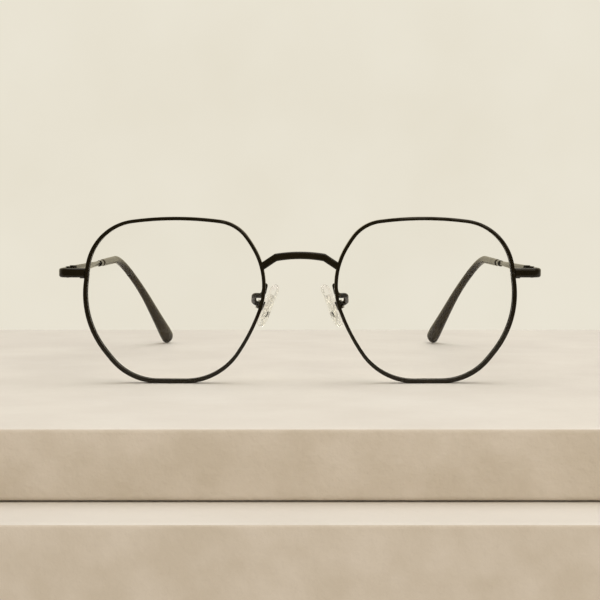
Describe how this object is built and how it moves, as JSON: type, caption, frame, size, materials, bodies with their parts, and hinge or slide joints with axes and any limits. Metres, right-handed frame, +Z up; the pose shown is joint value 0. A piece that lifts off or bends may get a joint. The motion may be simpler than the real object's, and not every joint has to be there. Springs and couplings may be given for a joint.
{
  "type": "eyeglasses",
  "caption": "Full-rim metal eyeglasses with hexagonal clear lenses, a flat arched bridge, folding temples with plastic tips and rocking clear nose pads.",
  "frame": {"origin": "centre of the underside of the box round the open eyeglasses", "axes": "+Z up, -Y the front that faces away from the wearer, +X the wearer's left"},
  "size_m": [0.1378, 0.1398, 0.0476],
  "materials": {
    "frame_metal": "gloss black",
    "screw_metal": "blackened steel",
    "lens": "clear",
    "tip_plastic": "soft gloss",
    "clear_pad": "clear silicone",
    "insert_plastic": "dark"
  },
  "bodies": {
    "front": {"bridge": "frame_metal", "rim_left": "frame_metal", "rim_right": "frame_metal", "lens_left": "lens", "lens_right": "lens", "end_piece_left": "frame_metal", "end_piece_right": "frame_metal", "rim_lock_upper_left": "frame_metal", "rim_lock_upper_right": "frame_metal", "rim_lock_lower_left": "frame_metal", "rim_lock_lower_right": "frame_metal", "front_hinge_left": "frame_metal", "front_hinge_right": "frame_metal", "hinge_screw_left": "screw_metal", "hinge_screw_right": "screw_metal", "pad_arm_left": "frame_metal", "pad_arm_right": "frame_metal", "pad_box_left": "frame_metal", "pad_box_right": "frame_metal"},
    "left_temple": {"temple_left": "frame_metal", "temple_hinge_left": "frame_metal", "ferrule_left": "frame_metal", "temple_tip_left": "tip_plastic"},
    "left_pad": {"pad_insert_left": "insert_plastic", "nose_pad_left": "clear_pad"},
    "right_temple": {"temple_right": "frame_metal", "temple_hinge_right": "frame_metal", "ferrule_right": "frame_metal", "temple_tip_right": "tip_plastic"},
    "right_pad": {"pad_insert_right": "insert_plastic", "nose_pad_right": "clear_pad"}
  },
  "joints": [
    {"name": "left_temple_fold", "type": "hinge", "parent": "front", "child": "left_temple", "pos_m": [0.06598, -0.05853, 0.03158], "axis": [0, 0, 1], "range_deg": [0, 85]},
    {"name": "right_temple_fold", "type": "hinge", "parent": "front", "child": "right_temple", "pos_m": [-0.06598, -0.05853, 0.03158], "axis": [0, 0, -1], "range_deg": [0, 80]},
    {"name": "left_pad_rock", "type": "hinge", "parent": "front", "child": "left_pad", "pos_m": [0.01131, -0.05938, 0.02187], "axis": [0.2079, 0.978, 0.0171], "range_deg": [-8, 8]},
    {"name": "right_pad_rock", "type": "hinge", "parent": "front", "child": "right_pad", "pos_m": [-0.01131, -0.05938, 0.02187], "axis": [0.2079, -0.978, -0.0171], "range_deg": [-8, 8]}
  ]
}
